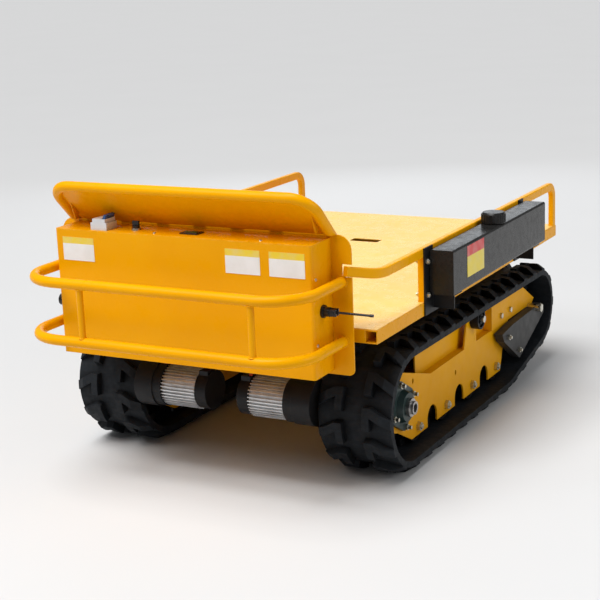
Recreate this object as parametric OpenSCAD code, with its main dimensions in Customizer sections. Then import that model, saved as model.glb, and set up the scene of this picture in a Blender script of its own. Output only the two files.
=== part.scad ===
// Battery-powered tracked platform cart: a flat load deck with side rails on a pair of rubber
// tracks, with a control box, a bumper and a fluid tank.
// Millimetres. +Z up, ground at z = 0. +Y points away from the control box, +X to the tank side.
// The origin is on the ground, midway along the machine and midway between its widest points,
// so the machine's own middle plane is off to one side by half of what the tank stands out.

/* [Deck] */
// Length of the load deck
deck_len = 1643; // [1350:1:2000]
// Width of the load deck
deck_w = 1108; // [920:1:1340]
// Clearance between the tracks and the deck frame above them
deck_gap = 57; // [20:1:120]
// Thickness of the deck plate
deck_t = 3; // [2:0.5:6]
// Width of the deck frame tubes
frame_w = 40; // [30:1:60]
// Height of the deck frame tubes
frame_h = 40; // [30:1:50]
// Wall of the deck frame tubes
frame_wall = 3; // [2:0.5:5]

/* [Rails] */
// Height of the rail top above the deck
rail_h = 170; // [140:1:260]
// Width of the rail tube
rail_w = 20; // [16:1:30]
// Height of the rail tube
rail_d = 30; // [24:1:40]
// Wall of the rail tube
rail_wall = 2; // [1.5:0.5:4]

/* [Control box] */
// Depth of the control box
box_d = 121; // [110:1:160]
// Height of the control box
box_h = 391; // [340:1:440]
// Sheet thickness of the control box
sheet_t = 2.5; // [1.5:0.5:4]
// Gap between the backplate and the deck
plate_gap = 48; // [40:1:80]
// Thickness of the backplate
plate_t = 5; // [3:1:8]

/* [Bumper] */
// Reach of the bumper in front of the backplate
bumper_reach = 296; // [260:1:360]
// Outside diameter of the bumper and hood tubes
tube_d = 32; // [25:1:42]
// Rise of the hood measured along its slope
hood_len = 180; // [140:1:220]

/* [Tracks] */
// Width of each rubber track
belt_w = 242; // [220:1:290]
// How far each track stands out beyond the deck edge
belt_out = 13; // [5:1:40]
// Outer radius of the track over the drive sprocket
drive_r = 207; // [200:1:250]
// Outer radius of the track over the idler wheel
idler_r = 166; // [140:1:200]
// Height of the idler centre
idler_z = 234; // [215:1:250]
// Thickness of the track carcass
carcass_t = 19; // [15:1:22]
// Height of the tread lugs
lug_h = 23; // [14:1:28]
// Nominal pitch of the tread lugs
lug_pitch = 101; // [90:1:125]
// Diameter of the track rollers
roller_d = 104; // [90:1:116]
// Diameter of the drive shaft
shaft_d = 42; // [34:1:50]
// Thickness of the track side plates
side_t = 6; // [5:1:8]

/* [Tank] */
// Length of the tank
tank_len = 875; // [600:1:1000]
// Thickness of the tank across the machine
tank_w = 80; // [70:1:90]
// Height of the tank
tank_h = 142; // [110:1:150]
// Diameter of the filler cap
cap_d = 80; // [74:1:96]
// Height of the filler cap
cap_h = 36; // [24:1:50]

/* [Hidden] */
$fn = 64;

run_gap = 0.06;                  // radial clearance of running fits
seat_gap = 0.05;                 // clearance of seated, unmoving parts

// Lengthwise places
total_len = bumper_reach + plate_t + plate_gap + deck_len;
y_front = -total_len / 2;        // outer face of the bumper
y_plate = y_front + bumper_reach;          // front face of the backplate
y_box = y_plate - box_d;         // front face of the control box
y_deck0 = y_plate + plate_t + plate_gap;   // end of the deck at the control box
y_deck1 = total_len / 2;         // far end of the deck
deck_x = deck_w / 2;
deck_top = 2 * drive_r + deck_gap + frame_h + deck_t;    // surface of the deck
z_tube = deck_top - deck_t;      // top of the frame tubes, which the rails stand on
z_frame = deck_top - deck_t - frame_h;     // underside of the deck frame
z_rail = deck_top + rail_h - rail_d / 2;   // centre of the rail tube

// Backplate and box
plate_x = deck_x - 50;           // half width of the backplate
box_x = plate_x - 64;            // half width of the control box
box_z0 = deck_top - 115;         // underside of the control box
box_z1 = box_z0 + box_h;         // top of the control box
plate_z0 = box_z0 - 14;
plate_z1 = box_z1 + 10;
plate_r = 45;                    // upper corner radius of the backplate
rail_end = [plate_x - 17, y_plate - 6, z_rail + 27];

// Bumper and hood
tube_r = tube_d / 2;
tube_wall = 2.5;
bumper_x = plate_x - 16 - tube_r;          // centre line of the bumper's side runs
bumper_y = y_front + tube_r;
bumper_bend = 130;
bumper_z = [box_z0 + 88, box_z0 + 264];
spacer_x = [-0.52 * bumper_x, 0.7 * bumper_x];
spacer_r = 10;
hood_x = box_x + 3;
hood_tilt = 45;
hood_bend = 69;
hood_z = plate_z1 - 5;
hood_y = y_plate + 2;

// Track path, in the Y-Z plane, as the outer circles that the track wraps
belt_x = deck_x + belt_out - belt_w / 2;   // middle plane of the right track
belt_t = carcass_t + lug_h;
drive_y = y_deck0 + 235;
idler_y = drive_y + deck_len - 451;
roller_r = roller_d / 2;
roller_z = belt_t + roller_r + 0.4;
hub_r = 18;                      // hub between a roller's two discs
tip_r = drive_r - belt_t - 0.5;  // tips of the sprocket's teeth
// first roller, from the sprocket, just clear of its teeth
roller_first = sqrt(pow(tip_r + hub_r + 2, 2) - pow(drive_r - roller_z, 2));
roller_last = 340;               // last roller, back from the idler
roller_pitch = (idler_y - drive_y - roller_first - roller_last) / 3;
roller_y = [for (i = [0 : 3]) drive_y + roller_first + i * roller_pitch];
wraps = [[drive_y, drive_r, drive_r], [idler_y, idler_z, idler_r],
         [roller_y[3], roller_z, roller_z]];
horn_h = 25;                     // guide horns on the inside of the track
horn_in = 16;                    // horns start this far from the middle plane
horn_w = 15;
plate_in = 58;                   // outer side plate's inner face, from the middle plane
beam_in = 65;                    // inner side plate, from the middle plane
arm_out = 102;                   // outer face of the idler arm, from the middle plane
beam_w = 72;                     // width of the main beam
carrier_y = idler_y - 557;
carrier_r = 36;
flange_w = 137;                  // square flange of the bearing housing
flange_pcd = 150;                // bolt circle of the bearing housing
flange_turn = 15;
axle_r = 10;
idler_axle_r = 15;

// Cross beams that join the two track frames
cross_y = [drive_y + 232, idler_y - 200];

// Tank
tank_gap = 7;
tank_x0 = deck_x + tank_gap;
tank_y0 = y_deck0 + 375;
tank_z0 = deck_top + 19;
tank_wall = 3;
cap_y = tank_y0 + 457;
neck_r = 30;
bracket_t = 5;
post_y = [tank_y0 - 13, tank_y0 + tank_len - 20];
strap_y = [[tank_y0 - 31, tank_y0 + 35], [post_y[1] - 22, post_y[1] + 22]];
shelf_y = [strap_y[0][1], strap_y[1][0] - 50];

// Motors, in shares of the room between the machine's middle plane and the track
case_x1 = belt_x - belt_w / 2 - 8;         // outer face of the reduction case
motor_x0 = 0.306 * case_x1;
motor_x1 = 0.7 * case_x1;
case_x0 = 0.795 * case_x1;       // the flange between motor and case ends here
bell_len = 0.126 * case_x1;
motor_y = y_plate + 135;
motor_z = box_z0 - 158;
motor_r = 66;

// The machine's middle plane, so that x = 0 lies midway between the widest points
plate_card = 0.8;                // thickness of the notice plates
mid_x = (deck_x + belt_out - (tank_x0 + tank_w + plate_card)) / 2;

yellow = [0.95, 0.66, 0.05];
black = [0.10, 0.10, 0.11];
steel = [0.72, 0.72, 0.70];
rubber = [0.07, 0.08, 0.09];

// ---- helpers ----

// Extrudes a 2D shape drawn as (Y, Z) along X, from x0 over a width w
module across(x0, w) translate([x0, 0, 0]) rotate([90, 0, 90]) linear_extrude(w) children();

// A round bar along X
module bar_x(x0, x1, y, z, r) translate([x0, y, z]) rotate([0, 90, 0]) cylinder(r = r, h = x1 - x0);

// A hexagon bolt head along X
module hex_x(x0, w, y, z, size) translate([x0, y, z]) rotate([0, 90, 0]) cylinder(d = size, h = w, $fn = 6);

// Puts a piece drawn about the machine's middle plane in its place
module placed() translate([mid_x, 0, 0]) children();

// Mirrors the right-hand parts to the left
module on_side(s) mirror([s < 0 ? 1 : 0, 0, 0]) children();

module rounded(w, h, r) {
    hull_x = w / 2 - r;
    square([w, h - 2 * r], center = true);
    square([w - 2 * r, h], center = true);
    for (sx = [-1, 1], sy = [-1, 1])
        translate([sx * hull_x, sy * (h / 2 - r)]) circle(r);
}

// A straight tube between two heights, along Z
module post(x, y, z0, z1, w, d, wall) translate([x, y, z0]) linear_extrude(z1 - z0) difference() {
    square([w, d], center = true);
    square([w - 2 * wall, d - 2 * wall], center = true);
}

function unit(v) = v / norm(v);

// Points on an arc between two directions in a plane spanned by a and b
function arc(c, r, a, b, t0, t1, n) =
    [for (i = [0 : n]) let (t = t0 + (t1 - t0) * i / n) c + r * (cos(t) * a + sin(t) * b)];

function tangent(p, i) =
    i == 0 ? unit(p[1] - p[0]) :
    i == len(p) - 1 ? unit(p[i] - p[i - 1]) : unit(unit(p[i + 1] - p[i]) + unit(p[i] - p[i - 1]));

// Sweeps an outline along a path; the outline's first axis stays level with X
module sweep(path, outline) {
    k = len(outline);
    n = len(path);
    rings = [for (i = [0 : n - 1])
        let (t = tangent(path, i), side = unit([1, 0, 0] - t[0] * t), rise = cross(t, side))
        for (q = outline) path[i] + q[0] * side + q[1] * rise];
    walls = [for (i = [0 : n - 2], j = [0 : k - 1])
        let (a = i * k + j, b = i * k + (j + 1) % k) each [[a, a + k, b + k], [a, b + k, b]]];
    polyhedron(points = rings, faces = concat(walls,
        [[for (j = [0 : k - 1]) j]], [[for (j = [k - 1 : -1 : 0]) (n - 1) * k + j]]), convexity = 8);
}

function rounded_outline(w, d, r) = [for (q = [[1, 1, 0], [-1, 1, 90], [-1, -1, 180], [1, -1, 270]],
    i = [0 : 2]) [q[0] * (w / 2 - r) + r * cos(q[2] + 45 * i), q[1] * (d / 2 - r) + r * sin(q[2] + 45 * i)]];

function ring_outline(r, n) = [for (i = [0 : n - 1]) [r * cos(360 * i / n), r * sin(360 * i / n)]];

// ---- track path ----

// Outward normal of the straight run from wrap circle i to the next one
function run_normal(i) =
    let (a = wraps[i], b = wraps[(i + 1) % 3], v = [b[0] - a[0], b[1] - a[1]], d = norm(v),
         u = v / d, k = (a[2] - b[2]) / d)
    k * u + sqrt(1 - k * k) * [-u[1], u[0]];
function angle_of(v) = atan2(v[1], v[0]);
// Start and end angles of the wrap on circle i, turning clockwise
function wrap_from(i) = angle_of(run_normal((i + 2) % 3));
function wrap_to(i) = let (t = angle_of(run_normal(i))) t > wrap_from(i) ? t - 360 : t;
function wrap_len(i) = (wrap_from(i) - wrap_to(i)) * PI / 180 * (wraps[i][2] - lug_h);
function run_len(i) =
    let (a = wraps[i], b = wraps[(i + 1) % 3], d = norm([b[0] - a[0], b[1] - a[1]]))
    sqrt(d * d - (a[2] - b[2]) * (a[2] - b[2]));
// Closed outline of the track at a depth below the lug tips
function loop_points(depth) = [for (i = [0 : 2], j = [0 : 24])
    let (t = wrap_from(i) + (wrap_to(i) - wrap_from(i)) * j / 24, r = wraps[i][2] - depth)
    [wraps[i][0] + r * cos(t), wraps[i][1] + r * sin(t)]];

track_len = wrap_len(0) + run_len(0) + wrap_len(1) + run_len(1) + wrap_len(2) + run_len(2);
lug_count = round(track_len / lug_pitch);

// Place and outward angle at distance s along the carcass: [y, z, angle]
function on_wrap(i, s) =
    let (r = wraps[i][2] - lug_h, t = wrap_from(i) - s / r * 180 / PI)
    [wraps[i][0] + r * cos(t), wraps[i][1] + r * sin(t), t];
function on_run(i, s) =
    let (n = run_normal(i), r = wraps[i][2] - lug_h, p = [wraps[i][0], wraps[i][1]] + r * n + s * [n[1], -n[0]])
    [p[0], p[1], angle_of(n)];
function on_track(s, i = 0) =
    s < wrap_len(i) ? on_wrap(i, s) :
    s < wrap_len(i) + run_len(i) ? on_run(i, s - wrap_len(i)) :
    on_track(s - wrap_len(i) - run_len(i), i + 1);

// Height of the track's inner face over the top run, at y
function top_inner(y) = let (n = run_normal(0), r = wraps[0][2] - belt_t)
    (n[0] * (drive_y - y) + r) / n[1] + wraps[0][1];
carrier_z = top_inner(carrier_y) - (carrier_r + 0.4) / run_normal(0)[1];

// ---- deck ----

module deck_side_tubes() color(yellow) placed()
    for (s = [-1, 1]) translate([s * (deck_x - frame_w / 2), y_deck0, z_frame])
        rotate([-90, 0, 0]) mirror([0, 1, 0]) linear_extrude(deck_len) difference() {
            translate([-frame_w / 2, 0]) square([frame_w, frame_h]);
            translate([frame_wall - frame_w / 2, frame_wall])
                square([frame_w - 2 * frame_wall, frame_h - 2 * frame_wall]);
        }

// Cross tubes at both ends, over both cross beams and midway between them
cross_tube_y = [y_deck0 + frame_w / 2, cross_y[0], (cross_y[0] + cross_y[1]) / 2, cross_y[1],
                y_deck1 - frame_w / 2];
module deck_cross_tubes() color(yellow) placed() for (y = cross_tube_y)
    across(-deck_x + frame_w, deck_w - 2 * frame_w) translate([y - frame_w / 2, z_frame]) difference() {
        square([frame_w, frame_h]);
        translate([frame_wall, frame_wall]) square([frame_w - 2 * frame_wall, frame_h - 2 * frame_wall]);
    }

slot_x = -25;
slot_y = y_deck1 - 494;
slot_w = 115;
slot_d = 48;
plate_inset = 2;
notch_gap = 1;                   // clearance of the plate's notches round the rail's legs
module deck_plate() color(yellow) placed() difference() {
    translate([-deck_x + plate_inset, y_deck0 + plate_inset, deck_top - deck_t])
        cube([deck_w - 2 * plate_inset, deck_len - 2 * plate_inset, deck_t]);
    translate([slot_x, slot_y, deck_top - deck_t - 1]) linear_extrude(deck_t + 2)
        rounded(slot_w, slot_d, 8);
    for (s = [-1, 1], y = concat(post_y, [leg_y]))
        translate([s * (deck_x - rail_w / 2), y, deck_top - deck_t / 2]) cube([rail_w + 2 * notch_gap, rail_d + 2 * notch_gap, deck_t + 2], center = true);
}

// Rail: far leg, bend, long run, then a bend inward and up to the backplate
leg_bend = 45;
knee = [deck_x - rail_w / 2, y_deck0 + 50, z_rail];
knee_len = 45;
leg_y = y_deck1 - rail_d / 2 - 4;
function rail_path(leg_ext, end_ext) =
    let (x = knee[0], v = unit(rail_end - knee), a = knee + [0, knee_len, 0], b = knee + knee_len * v)
    concat([[x, leg_y, z_tube - leg_ext]],
        arc([x, leg_y - leg_bend, z_rail - leg_bend], leg_bend, [0, 1, 0], [0, 0, 1], 0, 90, 6),
        [for (i = [0 : 8]) let (t = i / 8) (1 - t) * (1 - t) * a + 2 * t * (1 - t) * knee + t * t * b],
        [rail_end + end_ext * v]);
module rail(s) color(yellow) on_side(s) difference() {
    sweep(rail_path(0, 0), rounded_outline(rail_w, rail_d, 4));
    sweep(rail_path(1, -rail_wall), rounded_outline(rail_w - 2 * rail_wall, rail_d - 2 * rail_wall, 2));
}
module left_rail() placed() rail(-1);
module right_rail() placed() rail(1);

bolt_z = [z_rail - rail_d / 2 - 14, deck_top + 20];
bolt_r = 5;
module rail_posts() color(yellow) placed() for (s = [-1, 1], y = post_y) difference() {
    post(s * (deck_x - rail_w / 2), y, z_tube, z_rail - rail_d / 2, rail_w, rail_d, rail_wall);
    for (z = bolt_z) bar_x(s * deck_x - 50, s * deck_x + 50, y, z, bolt_r + 0.5);
}

// ---- control box ----

module plate_outline() difference() {
    union() {
        translate([-plate_x, plate_z0 + 18]) square([2 * plate_x, plate_z1 - plate_z0 - 18 - plate_r]);
        translate([-plate_x + plate_r, plate_z0 + 18])
            square([2 * (plate_x - plate_r), plate_z1 - plate_z0 - 18]);
        translate([-plate_x + 18, plate_z0]) square([2 * (plate_x - 18), 40]);
        for (s = [-1, 1]) {
            translate([s * (plate_x - plate_r), plate_z1 - plate_r]) circle(plate_r);
            translate([s * (plate_x - 18), plate_z0 + 18]) circle(18);
        }
    }
    // notches that the rail ends pass through
    for (s = [-1, 1]) translate([s * (plate_x + 5), rail_end[2]]) square([72, rail_d + 8], center = true);
}
module backplate() color(yellow) placed()
    translate([0, y_plate + plate_t, 0]) rotate([90, 0, 0]) linear_extrude(plate_t) plate_outline();

box_r = 8;
module box_outline(inset) {
    r = box_r - inset;
    x = box_x - inset;
    y = y_box + inset;
    translate([-x, y + r]) square([2 * x, y_plate - y - r]);
    translate([-x + r, y]) square([2 * (x - r), 20]);
    for (s = [-1, 1]) translate([s * (x - r), y + r]) circle(r);
}
lid_z = box_z1 - sheet_t;
side_screw_z = [box_z0 + 98, box_z0 + 290];
side_screw_y = y_box + 22;
lid_screw_x = [-0.21 * box_x, 0.61 * box_x];
lid_screw_y = y_box + 22;
screw_r = 2.5;
module control_box_case() color(yellow) placed() difference() {
    translate([0, 0, box_z0]) linear_extrude(box_h - sheet_t) box_outline(0);
    translate([0, 0, box_z0 + sheet_t]) linear_extrude(box_h) box_outline(sheet_t);
    for (s = [-1, 1], z = side_screw_z) bar_x(s * box_x - 6, s * box_x + 6, side_screw_y, z, screw_r + 0.3);
    // charge port and antenna holes
    bar_x(-box_x - 6, -box_x + 6, port_y, port_z, port_r);
    bar_x(box_x - 6, box_x + 6, antenna_y, antenna_z, antenna_r);
    // cable holes in the floor
    translate([cable_in[0] - 35, cable_in[1] - 10, box_z0 - 1]) cube([30, 40, sheet_t + 2]);
    translate([-motor_x0 - 20, cable_in[1] - 10, box_z0 - 1]) cube([36, 34, sheet_t + 2]);
    // drain notch
    translate([box_x - 30, y_plate - 20, box_z0 - 1]) cube([12, 12, sheet_t + 2]);
}

breaker_x = -0.647 * box_x;
breaker_y = y_plate - 83;
breaker_w = 58;
breaker_d = 54;
selector_x = -0.4 * box_x;
selector_y = y_plate - 70;
gauge_x = 0.037 * box_x;
gauge_y = y_plate - 64;
gauge_w = 63;
gauge_d = 42;
module control_box_lid() color(yellow) placed() difference() {
    translate([0, 0, lid_z]) linear_extrude(sheet_t) difference() {
        box_outline(0);
        translate([breaker_x, breaker_y]) square([breaker_w + 1, breaker_d + 1], center = true);
        translate([selector_x, selector_y]) circle(11.3);
        translate([gauge_x, gauge_y]) square([gauge_w - 5, gauge_d - 5], center = true);
        for (x = lid_screw_x) translate([x, lid_screw_y]) circle(screw_r + 0.3);
    }
}

// Pan head screw pointing down -Z from the origin
module pan_screw() {
    cylinder(r1 = 5, r2 = 3.6, h = 3);
    translate([0, 0, -9]) cylinder(r = screw_r, h = 9);
}
module case_screws() color(steel) placed() {
    for (x = lid_screw_x) translate([x, lid_screw_y, box_z1]) pan_screw();
    for (s = [-1, 1], z = side_screw_z) translate([s * box_x, side_screw_y, z]) rotate([0, s * 90, 0]) pan_screw();
}

card_x = [-0.81 * box_x, 0.823 * box_x - 144, 0.823 * box_x];
module notice_plates() color("white") placed() {
    for (x = card_x) translate([x - 57, y_box - plate_card, box_z1 - 96]) cube([114, plate_card, 72]);
    translate([tank_x0 + tank_w, tank_y0 + 115, tank_z0 + 34]) cube([plate_card, 146, 100]);
}

// Moulded breaker with a recess that its lever sits in
lever_x = breaker_x + 14;
lever_z = box_z1 + 26;
module breaker_body() color("white") placed() difference() {
    union() {
        translate([breaker_x - breaker_w / 2, breaker_y - breaker_d / 2, box_z1 - 38])
            cube([breaker_w, breaker_d, 38 + 22]);
        translate([breaker_x - 22, breaker_y - breaker_d / 2, box_z1]) cube([46, breaker_d, 34]);
    }
    translate([lever_x, breaker_y - breaker_d / 2 + 3, lever_z]) rotate([-90, 0, 0])
        cylinder(r = 9 + 0.4, h = breaker_d - 6);
    translate([lever_x - 9, breaker_y - breaker_d / 2 + 3, lever_z]) cube([18, breaker_d - 6, 20]);
}
module breaker_lever() color([0.10, 0.22, 0.50]) placed() {
    translate([lever_x, breaker_y - breaker_d / 2 + 3.5, lever_z]) rotate([-90, 0, 0])
        cylinder(r = 9, h = breaker_d - 7);
    translate([lever_x, breaker_y - breaker_d / 2 + 3.5, lever_z]) rotate([0, 25, 0])
        translate([-4, 0, 4]) cube([8, breaker_d - 7, 18]);
}

module selector_base() color(steel) placed() {
    difference() {
        union() {
            translate([selector_x, selector_y, box_z1]) cylinder(r1 = 14.5, r2 = 13.5, h = 6);
            translate([selector_x, selector_y, box_z1 - 40]) cylinder(r = 11, h = 40);
        }
        translate([selector_x, selector_y, box_z1 - 10]) cylinder(r = 6 + run_gap, h = 20);
    }
}
module selector_knob() color(black) placed() {
    translate([selector_x, selector_y, box_z1 - 9.5]) cylinder(r = 6, h = 16);
    translate([selector_x, selector_y, box_z1 + 6.4]) cylinder(r = 11.5, h = 8);
    translate([selector_x - 11, selector_y - 3.5, box_z1 + 14]) cube([22, 7, 14]);
}

module battery_gauge() color(black) placed() {
    translate([gauge_x, gauge_y, box_z1]) linear_extrude(3) rounded(gauge_w, gauge_d, 4);
    translate([gauge_x, gauge_y, box_z1 - 14]) linear_extrude(14)
        square([gauge_w - 6, gauge_d - 6], center = true);
}

port_y = y_box + 32;
port_z = box_z0 + 159;
port_r = 14;
module charge_port() color(black) placed() {
    difference() {
        union() {
            bar_x(-box_x - 20, -box_x, port_y, port_z, 18);
            bar_x(-box_x, -box_x + 20, port_y, port_z, port_r - seat_gap);
        }
        bar_x(-box_x - 21, -box_x - 4, port_y, port_z, 11);
    }
    for (t = [0 : 120 : 359])
        bar_x(-box_x - 9, -box_x - 3, port_y + 5 * cos(t), port_z + 5 * sin(t), 1.6);
}

antenna_y = y_plate - 62;
antenna_z = box_z0 + 190;
antenna_r = 9;
antenna_tip = box_x + 158;
antenna_pin = [box_x + 36, antenna_y, antenna_z];
module antenna_base() color(black) placed() difference() {
    union() {
        bar_x(box_x - 14, box_x, antenna_y, antenna_z, antenna_r - seat_gap);
        bar_x(box_x, box_x + 6, antenna_y, antenna_z, 19);
        bar_x(box_x + 6, box_x + 24, antenna_y, antenna_z, 14);
        // forked head that holds the rod's pin
        for (s = [-1, 1]) translate([box_x + 20, antenna_y + s * 8 - 3, antenna_z - 10]) cube([26, 6, 20]);
    }
    translate([antenna_pin[0], antenna_y - 20, antenna_z]) rotate([-90, 0, 0]) cylinder(r = 3 + run_gap, h = 40);
}
module antenna_rod() color(black) placed() {
    translate([antenna_pin[0], antenna_y - 12, antenna_z]) rotate([-90, 0, 0]) cylinder(r = 3, h = 24);
    bar_x(antenna_pin[0], antenna_pin[0] + 14, antenna_y, antenna_z, 4.6);
    bar_x(antenna_pin[0] + 10, antenna_tip, antenna_y, antenna_z, 3.4);
    bar_x(antenna_tip - 10, antenna_tip, antenna_y, antenna_z, 4.4);
}

// ---- hood over the controls: a bent tube with a plate welded across it ----

module tube_leg(len) cylinder(r = tube_r, h = len);
module bend(r, a) rotate_extrude(angle = a) translate([r, 0]) circle(tube_r);
module control_hood() color(yellow) placed() difference() {
    translate([0, hood_y, hood_z]) rotate([hood_tilt, 0, 0]) union() {
        // u = along the slope (local Z), X across
        for (s = [-1, 1]) {
            translate([s * hood_x, 0, -10]) tube_leg(hood_len - hood_bend + 10);
            translate([s * (hood_x - hood_bend), 0, hood_len - hood_bend]) rotate([90, 0, 0])
                mirror([s < 0 ? 1 : 0, 0, 0]) bend(hood_bend, 90);
        }
        translate([-(hood_x - hood_bend), 0, hood_len]) rotate([0, 90, 0])
            cylinder(r = tube_r, h = 2 * (hood_x - hood_bend));
        // plate under the tube
        rotate([90, 0, 0]) translate([0, 0, -1.5]) linear_extrude(3) union() {
            translate([-hood_x + 4, 8]) square([2 * hood_x - 8, hood_len - hood_bend - 8]);
            translate([-hood_x + hood_bend, 8]) square([2 * (hood_x - hood_bend), hood_len - 8]);
            for (s = [-1, 1]) translate([s * (hood_x - hood_bend), hood_len - hood_bend]) circle(hood_bend - 4);
        }
        // small corner gussets
        for (s = [-1, 1]) translate([s * (hood_x - 26) - 2, 0, 0]) rotate([90, 0, 90]) linear_extrude(4)
            polygon([[0, 40], [0, 100], [-26, 40]]);
    }
    // cut flat to stand on the backplate's top edge
    translate([-hood_x - 60, y_plate - 60, plate_z1 - 100]) cube([2 * hood_x + 120, 120, 100]);
}

// ---- bumper: two bent tubes and two upright spacers ----

module bumper_tube(z) {
    run = bumper_x - bumper_bend;
    translate([-run, bumper_y, z]) rotate([0, 90, 0]) cylinder(r = tube_r, h = 2 * run);
    for (s = [-1, 1]) {
        translate([s * run, bumper_y + bumper_bend, z]) mirror([s < 0 ? 1 : 0, 0, 0])
            rotate([0, 0, -90]) rotate_extrude(angle = 90) translate([bumper_bend, 0]) circle(tube_r);
        translate([s * bumper_x, bumper_y + bumper_bend, z]) rotate([-90, 0, 0])
            cylinder(r = tube_r, h = y_plate - bumper_y - bumper_bend);
    }
}
module bumper() color(yellow) placed() union() {
    for (z = bumper_z) bumper_tube(z);
    for (x = spacer_x) translate([x, bumper_y, bumper_z[0]]) cylinder(r = spacer_r, h = bumper_z[1] - bumper_z[0]);
}

// ---- tank ----

module tank_block(inset) translate([tank_x0 + tank_w / 2, tank_y0 + inset, tank_z0 + tank_h / 2])
    rotate([-90, 0, 0]) linear_extrude(tank_len - 2 * inset) rounded(tank_w - 2 * inset, tank_h - 2 * inset, 7 - inset);
tank_x = tank_x0 + tank_w / 2;
tank_z1 = tank_z0 + tank_h;
module tank() color(black) placed() difference() {
    union() {
        tank_block(0);
        translate([tank_x, cap_y, tank_z1 - 1]) cylinder(r = neck_r, h = 13);
    }
    tank_block(tank_wall);
    translate([tank_x, cap_y, tank_z1 - 6]) cylinder(r = neck_r - 4, h = 30);
}
module tank_cap() color(black) placed() translate([tank_x, cap_y, tank_z1 + 2]) difference() {
    union() {
        cylinder(d = cap_d, h = cap_h - 5);
        translate([0, 0, cap_h - 5]) cylinder(d1 = cap_d - 2, d2 = cap_d - 10, h = 5);
        for (t = [0 : 15 : 359]) rotate([0, 0, t]) translate([cap_d / 2 - 1, -2, 2]) cube([2.5, 4, cap_h - 9]);
    }
    translate([0, 0, -1]) cylinder(r = neck_r + run_gap, h = 12);
}

// Straps bolted to the rail posts, with shelves under the tank
module tank_brackets() color(black) placed() for (i = [0, 1]) difference() {
    union() {
        translate([deck_x, strap_y[i][0], z_frame])
            cube([bracket_t, strap_y[i][1] - strap_y[i][0], deck_top + rail_h - z_frame]);
        translate([deck_x, shelf_y[i], z_frame]) cube([bracket_t, 50, tank_z0 - z_frame]);
        translate([deck_x, shelf_y[i], tank_z0 - bracket_t]) cube([tank_w, 50, bracket_t]);
        across(deck_x + 2, tank_w - 8) translate([shelf_y[i], 0])
            polygon([[0, tank_z0 - 50], [bracket_t, tank_z0 - 50], [bracket_t, tank_z0 - 1], [0, tank_z0 - 1]]);
    }
    for (z = bolt_z) bar_x(deck_x - 10, deck_x + 10, post_y[i], z, bolt_r + 0.5);
}
// Bolts through the posts: heads outside at the near strap, tapped into the strap behind the tank
module bracket_bolts() color(steel) placed() for (i = [0, 1], z = bolt_z) {
    bar_x(deck_x - rail_w - 12, deck_x + bracket_t + (i == 0 ? 10 : 0), post_y[i], z, bolt_r);
    hex_x(deck_x - rail_w - 7, 7, post_y[i], z, 18);
    if (i == 0) hex_x(deck_x + bracket_t, 7, post_y[i], z, 18);
}

// ---- inside the box ----

module battery_pack() color([0.2, 0.35, 0.6]) placed()
    translate([-0.06 * box_x, y_box + 8, box_z0 + sheet_t]) cube([0.9 * box_x, box_d - 20, 180]);
module motor_controller() color([0.6, 0.6, 0.62]) placed() {
    translate([-0.9 * box_x, y_plate - 12, box_z0 + 60]) cube([230, 12, 190]);
    for (i = [0 : 10]) translate([-0.9 * box_x + 5 + i * 21, y_plate - 32, box_z0 + 64]) cube([4, 21, 182]);
}

cable_r = 6;
bell_top = motor_z + motor_r + 2;          // top of the terminal box on the end bell
// Way of each motor's cables: off its terminal box, up, and across to the box's underside
cable_in = [box_x * -0.36, y_box + 45];
function bezier(a, b, c, d, n) = [for (i = [0 : n]) let (t = i / n, u = 1 - t)
    u * u * u * a + 3 * u * u * t * b + 3 * u * t * t * c + t * t * t * d];
module cable(from, to, pull, n) sweep(concat([from], bezier(from + [0, 0, 8], from + [0, 0, 8 + pull],
    to - [0, 0, 60], to, n)), ring_outline(cable_r, 8));
module motor_cables() color([0.85, 0.3, 0.05]) placed() {
    z1 = box_z0 + sheet_t + 10;
    for (k = [0, 1]) {
        // from the far motor, up beside the plate
        cable([-motor_x0 + 8 + 16 * k, motor_y, bell_top], [-motor_x0 - 10 + 16 * k, cable_in[1], z1], 42, 10);
        // from the near motor, slanting over to the same place
        cable([motor_x0 - 8, motor_y - 20 * k, bell_top], [cable_in[0] - 20, cable_in[1] + 20 * k, z1], 42, 14);
    }
}

// ---- running gear ----

beam_h = 89;
beam_z = idler_z - 7;
beam_y0 = drive_y + drive_r - belt_t + 30;
beam_y1 = idler_y - idler_r + belt_t - 12;
pillar_x = belt_x - belt_w / 2 - 60;
cross_h = 60;
cross_z = beam_z + 10;
module cross_beams() color(yellow) placed() {
    for (y = cross_y) {
        across(-belt_x + beam_in + side_t, 2 * (belt_x - beam_in - side_t)) translate([y, cross_z + cross_h / 2])
            difference() {
                square([60, cross_h], center = true);
                square([52, cross_h - 8], center = true);
            }
        for (s = [-1, 1]) post(s * pillar_x, y, cross_z + cross_h, z_frame, 50, 50, 4);
    }
}

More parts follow.
